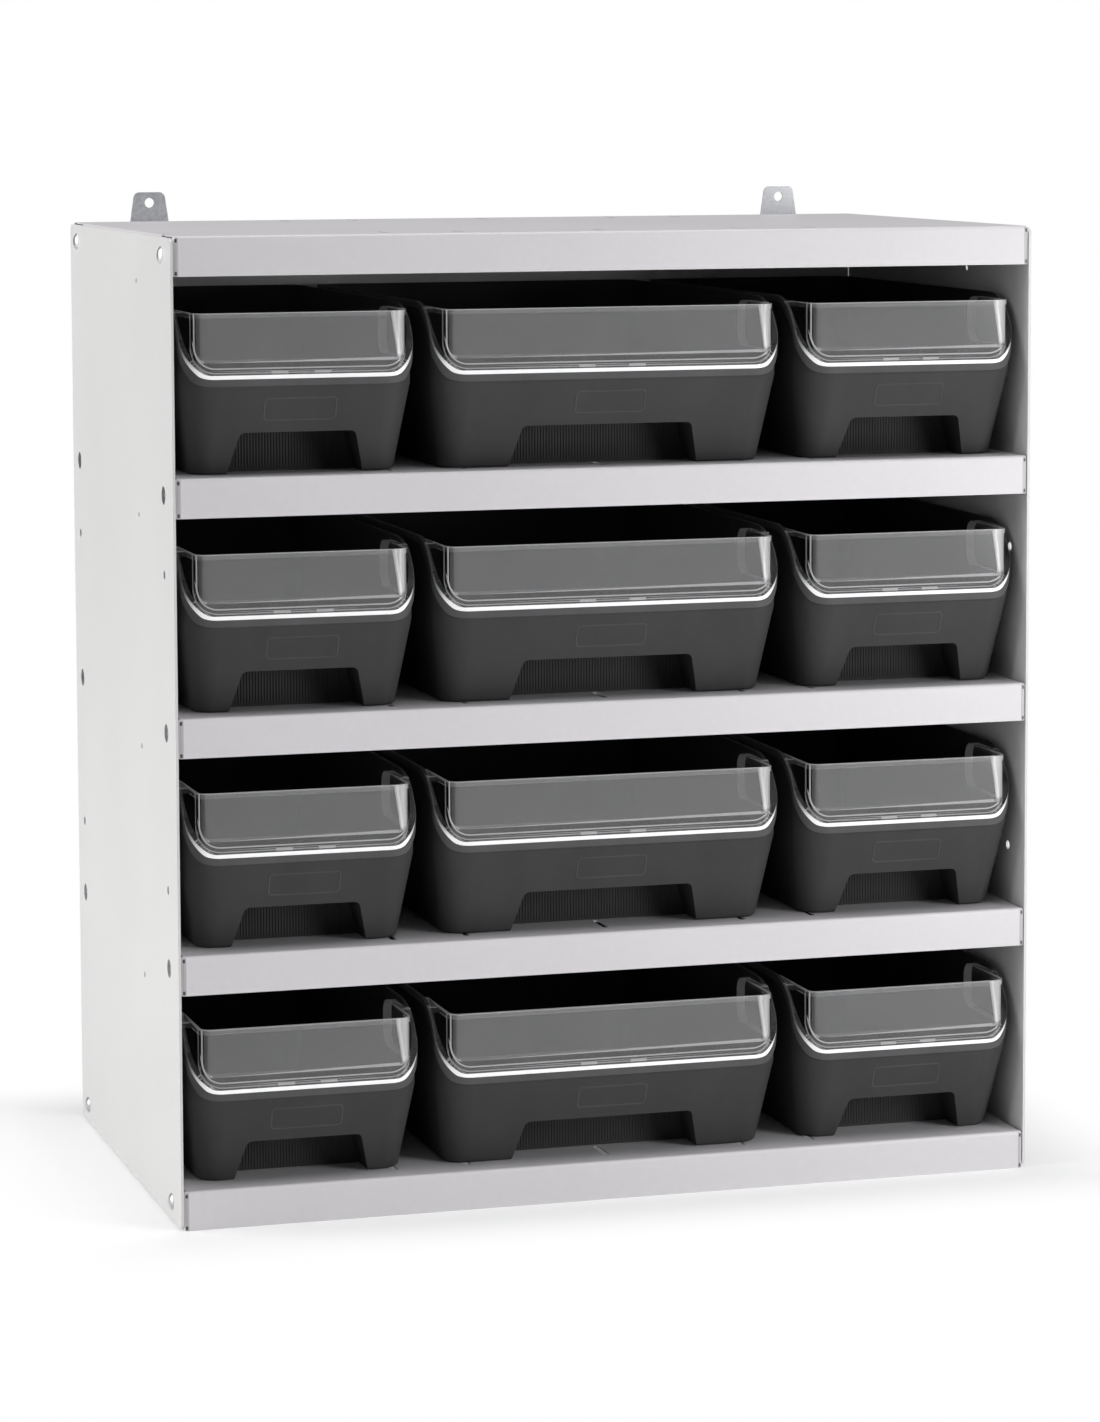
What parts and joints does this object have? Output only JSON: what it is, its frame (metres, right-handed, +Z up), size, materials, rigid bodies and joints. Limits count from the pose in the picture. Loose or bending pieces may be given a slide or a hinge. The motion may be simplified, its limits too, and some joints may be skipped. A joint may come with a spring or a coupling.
{
  "type": "bin rack",
  "caption": "Light grey steel rack with rows of dark pull-out bins that have clear windows, finger recesses and hanging tabs.",
  "frame": {"origin": "on the floor under the middle of the rack, at the bottom centre of its bounding box", "axes": "+Z up, +X to the right seen from the front, +Y to the back, so the bins pull out towards -Y"},
  "size_m": [0.6904, 0.408, 0.774],
  "materials": {
    "light_grey_paint": "satin",
    "galvanised_steel": "satin",
    "zinc_plate": "polished",
    "dark_plastic": "matte",
    "clear_plastic": "polished"
  },
  "bodies": {
    "rack": {"side_panel_left": "light_grey_paint", "side_panel_right": "light_grey_paint", "top_panel": "light_grey_paint", "shelf_bottom": "light_grey_paint", "shelf_lower": "light_grey_paint", "shelf_middle": "light_grey_paint", "shelf_upper": "light_grey_paint", "back_panel": "light_grey_paint", "hanging_tab_left": "galvanised_steel", "hanging_tab_right": "galvanised_steel", "tab_rivets": "galvanised_steel", "back_rivets": "galvanised_steel", "dome_screws_left": "zinc_plate", "dome_screws_right": "zinc_plate", "screw_nuts_left": "zinc_plate", "screw_nuts_right": "zinc_plate", "clinch_nuts_left": "zinc_plate", "clinch_nuts_right": "zinc_plate", "inner_screws_left": "zinc_plate", "inner_screws_right": "zinc_plate"},
    "bin_1_left": {"bin_1_left": "dark_plastic", "window_1_left": "clear_plastic"},
    "bin_1_middle": {"bin_1_middle": "dark_plastic", "window_1_middle": "clear_plastic"},
    "bin_1_right": {"bin_1_right": "dark_plastic", "window_1_right": "clear_plastic"},
    "bin_2_left": {"bin_2_left": "dark_plastic", "window_2_left": "clear_plastic"},
    "bin_2_middle": {"bin_2_middle": "dark_plastic", "window_2_middle": "clear_plastic"},
    "bin_2_right": {"bin_2_right": "dark_plastic", "window_2_right": "clear_plastic"},
    "bin_3_left": {"bin_3_left": "dark_plastic", "window_3_left": "clear_plastic"},
    "bin_3_middle": {"bin_3_middle": "dark_plastic", "window_3_middle": "clear_plastic"},
    "bin_3_right": {"bin_3_right": "dark_plastic", "window_3_right": "clear_plastic"},
    "bin_4_left": {"bin_4_left": "dark_plastic", "window_4_left": "clear_plastic"},
    "bin_4_middle": {"bin_4_middle": "dark_plastic", "window_4_middle": "clear_plastic"},
    "bin_4_right": {"bin_4_right": "dark_plastic", "window_4_right": "clear_plastic"}
  },
  "joints": [
    {"name": "bin_1_left_slide", "type": "slide", "parent": "rack", "child": "bin_1_left", "axis": [0, -1, 0], "range_m": [0, 0.4]},
    {"name": "bin_1_middle_slide", "type": "slide", "parent": "rack", "child": "bin_1_middle", "axis": [0, -1, 0], "range_m": [0, 0.4]},
    {"name": "bin_1_right_slide", "type": "slide", "parent": "rack", "child": "bin_1_right", "axis": [0, -1, 0], "range_m": [0, 0.4]},
    {"name": "bin_2_left_slide", "type": "slide", "parent": "rack", "child": "bin_2_left", "axis": [0, -1, 0], "range_m": [0, 0.4]},
    {"name": "bin_2_middle_slide", "type": "slide", "parent": "rack", "child": "bin_2_middle", "axis": [0, -1, 0], "range_m": [0, 0.4]},
    {"name": "bin_2_right_slide", "type": "slide", "parent": "rack", "child": "bin_2_right", "axis": [0, -1, 0], "range_m": [0, 0.4]},
    {"name": "bin_3_left_slide", "type": "slide", "parent": "rack", "child": "bin_3_left", "axis": [0, -1, 0], "range_m": [0, 0.4]},
    {"name": "bin_3_middle_slide", "type": "slide", "parent": "rack", "child": "bin_3_middle", "axis": [0, -1, 0], "range_m": [0, 0.4]},
    {"name": "bin_3_right_slide", "type": "slide", "parent": "rack", "child": "bin_3_right", "axis": [0, -1, 0], "range_m": [0, 0.4]},
    {"name": "bin_4_left_slide", "type": "slide", "parent": "rack", "child": "bin_4_left", "axis": [0, -1, 0], "range_m": [0, 0.4]},
    {"name": "bin_4_middle_slide", "type": "slide", "parent": "rack", "child": "bin_4_middle", "axis": [0, -1, 0], "range_m": [0, 0.4]},
    {"name": "bin_4_right_slide", "type": "slide", "parent": "rack", "child": "bin_4_right", "axis": [0, -1, 0], "range_m": [0, 0.4]}
  ]
}
